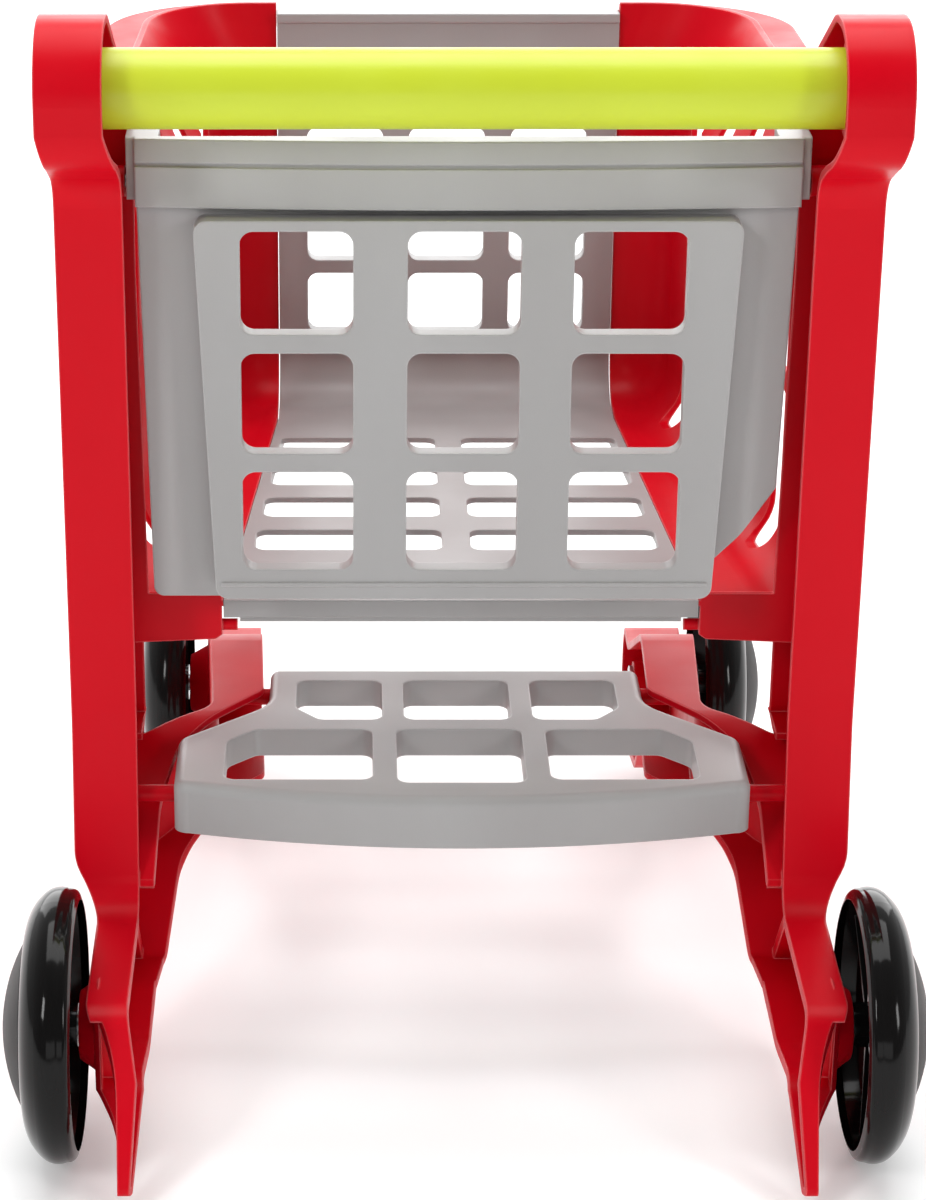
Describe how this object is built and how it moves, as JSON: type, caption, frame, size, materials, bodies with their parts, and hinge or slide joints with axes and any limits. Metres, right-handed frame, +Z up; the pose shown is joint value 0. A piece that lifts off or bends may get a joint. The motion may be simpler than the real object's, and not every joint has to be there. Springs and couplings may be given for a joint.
{
  "type": "toy shopping trolley",
  "caption": "Child's moulded plastic shopping trolley: slotted basket with a swinging lattice gate, round handle, lower tray and wide domed wheels.",
  "frame": {"origin": "on the floor, under the middle of the trolley's outer box", "axes": "+X to the right of whoever pushes it, +Y forward from the handle to the basket's front, +Z up"},
  "size_m": [0.362, 0.446, 0.438],
  "materials": {
    "red_plastic": "satin",
    "grey_plastic": "satin",
    "lime_plastic": "satin",
    "black_gloss": "gloss",
    "black_dull": "dull",
    "steel": "zinc plated"
  },
  "bodies": {
    "chassis": {"side_frame_left": "red_plastic", "side_frame_right": "red_plastic", "front_panel": "grey_plastic", "basket_floor": "grey_plastic", "lower_tray": "grey_plastic", "handle_tube": "lime_plastic", "gate_pin_left": "steel", "handle_plug_left": "red_plastic", "rear_axle_left": "steel", "rear_axle_clip_left": "steel", "front_axle_left": "steel", "front_axle_clip_left": "steel", "gate_pin_right": "steel", "handle_plug_right": "red_plastic", "rear_axle_right": "steel", "rear_axle_clip_right": "steel", "front_axle_right": "steel", "front_axle_clip_right": "steel"},
    "gate": {"rear_gate": "grey_plastic"},
    "rear_wheel_left": {"rear_wheel_left": "black_gloss", "rear_hubcap_left": "black_dull"},
    "rear_wheel_right": {"rear_wheel_right": "black_gloss", "rear_hubcap_right": "black_dull"},
    "front_wheel_left": {"front_wheel_left": "black_gloss", "front_hubcap_left": "black_dull"},
    "front_wheel_right": {"front_wheel_right": "black_gloss", "front_hubcap_right": "black_dull"}
  },
  "joints": [
    {"name": "gate_swing", "type": "hinge", "parent": "chassis", "child": "gate", "pos_m": [0, -0.072, 0.368], "axis": [1, 0, 0], "range_deg": [0, 30]},
    {"name": "rear_wheel_left_spin", "type": "hinge", "parent": "chassis", "child": "rear_wheel_left", "pos_m": [-0.162, -0.169, 0.054], "axis": [1, 0, 0], "continuous": true},
    {"name": "rear_wheel_right_spin", "type": "hinge", "parent": "chassis", "child": "rear_wheel_right", "pos_m": [0.162, -0.169, 0.054], "axis": [1, 0, 0], "continuous": true},
    {"name": "front_wheel_left_spin", "type": "hinge", "parent": "chassis", "child": "front_wheel_left", "pos_m": [-0.134, 0.169, 0.054], "axis": [1, 0, 0], "continuous": true},
    {"name": "front_wheel_right_spin", "type": "hinge", "parent": "chassis", "child": "front_wheel_right", "pos_m": [0.134, 0.169, 0.054], "axis": [1, 0, 0], "continuous": true}
  ]
}
